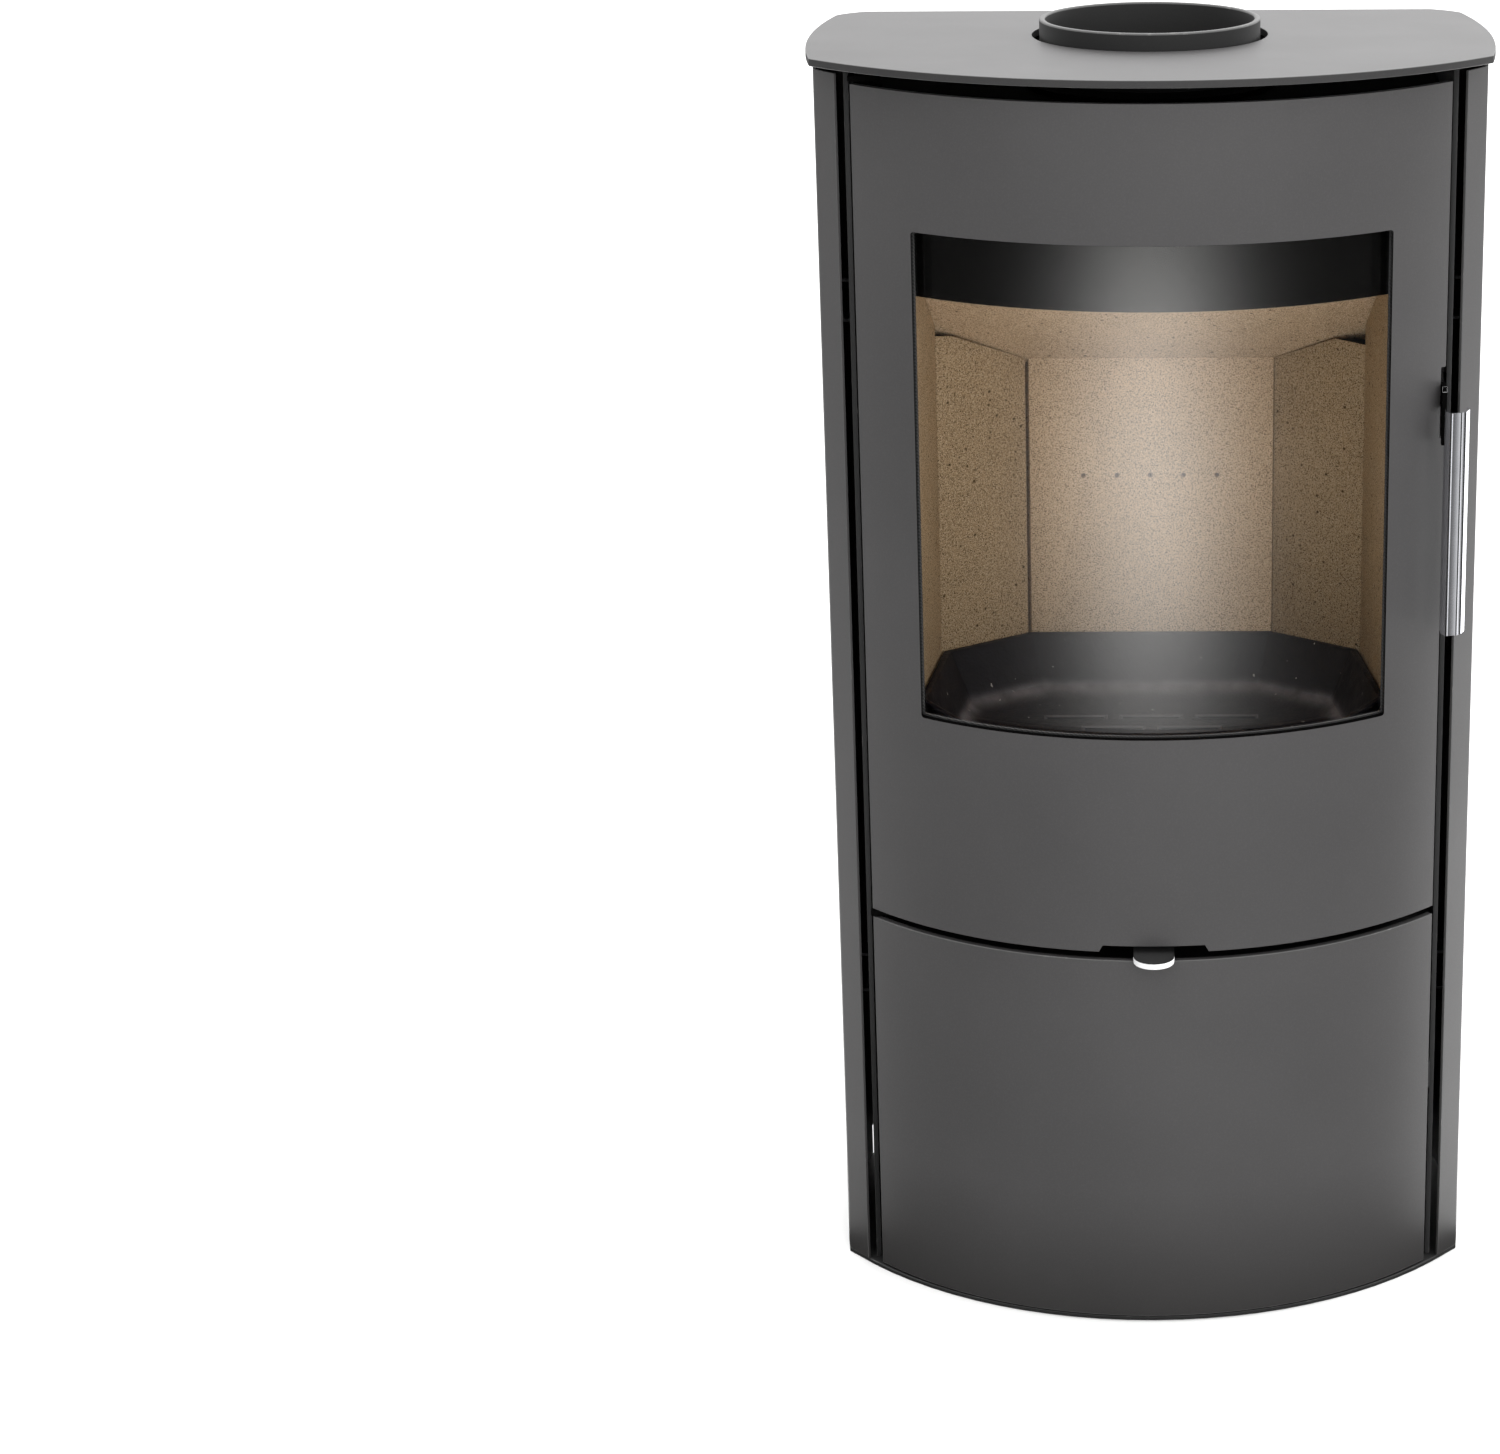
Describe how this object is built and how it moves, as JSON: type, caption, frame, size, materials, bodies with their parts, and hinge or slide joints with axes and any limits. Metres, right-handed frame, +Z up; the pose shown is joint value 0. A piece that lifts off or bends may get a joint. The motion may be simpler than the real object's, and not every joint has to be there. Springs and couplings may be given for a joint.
{
  "type": "wood stove",
  "caption": "Bow-fronted wood stove: glazed hinged fire door with chrome pull handle, lined firebox with cast basin, air lever, wood store behind a lower door, top flue collar.",
  "frame": {"origin": "middle of the footprint on the floor, under the base plate", "axes": "+X to the right seen from the front, +Y towards the wall behind, +Z up"},
  "size_m": [0.462, 0.32, 0.888],
  "materials": {
    "grey_paint": "matt grey heat-proof stove paint",
    "dark_paint": "matt black heat-proof stove paint",
    "sheet_steel": "dark mill-finish sheet steel",
    "bright_steel": "bright zinc-plated steel",
    "chrome": "polished chrome plating",
    "cast_iron": "as-cast black iron",
    "vermiculite": "pressed vermiculite board, tan with dark flecks",
    "glass": "clear ceramic glass",
    "rope": "black woven glass-fibre seal",
    "magnet": "black magnet housing"
  },
  "bodies": {
    "root": {"base_plate": "dark_paint", "body_wall_left": "dark_paint", "body_wall_right": "dark_paint", "body_back_wall": "dark_paint", "firebox_top": "dark_paint", "firebox_floor": "dark_paint", "ash_chamber_floor": "dark_paint", "wood_store_ceiling": "dark_paint", "front_frame": "dark_paint", "top_plate": "grey_paint", "flue_collar": "grey_paint", "side_panel_left": "grey_paint", "side_panel_right": "grey_paint", "panel_bracket_left_lower": "sheet_steel", "panel_bracket_left_upper": "sheet_steel", "panel_bracket_right_lower": "sheet_steel", "panel_bracket_right_upper": "sheet_steel", "rear_cover": "dark_paint", "rear_spacer_lower": "dark_paint", "rear_spacer_upper": "dark_paint", "lining_left": "vermiculite", "lining_right": "vermiculite", "lining_rear_left": "vermiculite", "lining_rear_right": "vermiculite", "lining_back": "vermiculite", "baffle_plate": "vermiculite", "smoke_deflector": "sheet_steel", "deflector_rail_left": "sheet_steel", "deflector_rail_right": "sheet_steel", "fire_basin": "cast_iron", "ash_pan": "sheet_steel", "hinge_plate_middle": "dark_paint", "hinge_plate_top": "dark_paint", "hinge_pin_top": "bright_steel", "hinge_pin_middle": "bright_steel", "hinge_pin_bottom": "bright_steel", "latch_catch": "bright_steel", "magnet_catch": "magnet", "lever_rivet": "bright_steel"},
    "fire_door": {"fire_door_panel": "grey_paint", "fire_door_frame": "dark_paint", "fire_door_rope_seal": "rope", "glass_gasket": "rope", "door_glass": "glass", "glass_retainer_left": "dark_paint", "glass_retainer_right": "dark_paint", "air_wash_strip": "dark_paint", "fire_door_lug_top": "dark_paint", "fire_door_lug_bottom": "dark_paint", "handle_mount": "sheet_steel", "handle_pivot_pin": "chrome"},
    "handle": {"handle_bar": "chrome", "latch_hook": "chrome"},
    "store_door": {"store_door_panel": "grey_paint", "store_door_stiffener_lower": "dark_paint", "store_door_stiffener_upper": "dark_paint", "store_door_striker": "dark_paint", "store_door_lug_top": "dark_paint", "store_door_lug_bottom": "dark_paint"},
    "air_lever": {"air_lever": "grey_paint"}
  },
  "joints": [
    {"name": "fire_door_swing", "type": "hinge", "parent": "root", "child": "fire_door", "pos_m": [-0.188, -0.053, 0.5715], "axis": [0, 0, -1], "range_deg": [0, 110]},
    {"name": "handle_pull", "type": "hinge", "parent": "fire_door", "child": "handle", "pos_m": [0.1955, -0.0495, 0.652], "axis": [-1, 0, 0], "range_deg": [0, 35]},
    {"name": "store_door_swing", "type": "hinge", "parent": "root", "child": "store_door", "pos_m": [-0.188, -0.053, 0.14], "axis": [0, 0, -1], "range_deg": [0, 110]},
    {"name": "air_lever_turn", "type": "hinge", "parent": "root", "child": "air_lever", "pos_m": [0, 0.057, 0.2793], "axis": [0, 0, 1], "range_deg": [-5.8, 5.8]}
  ]
}
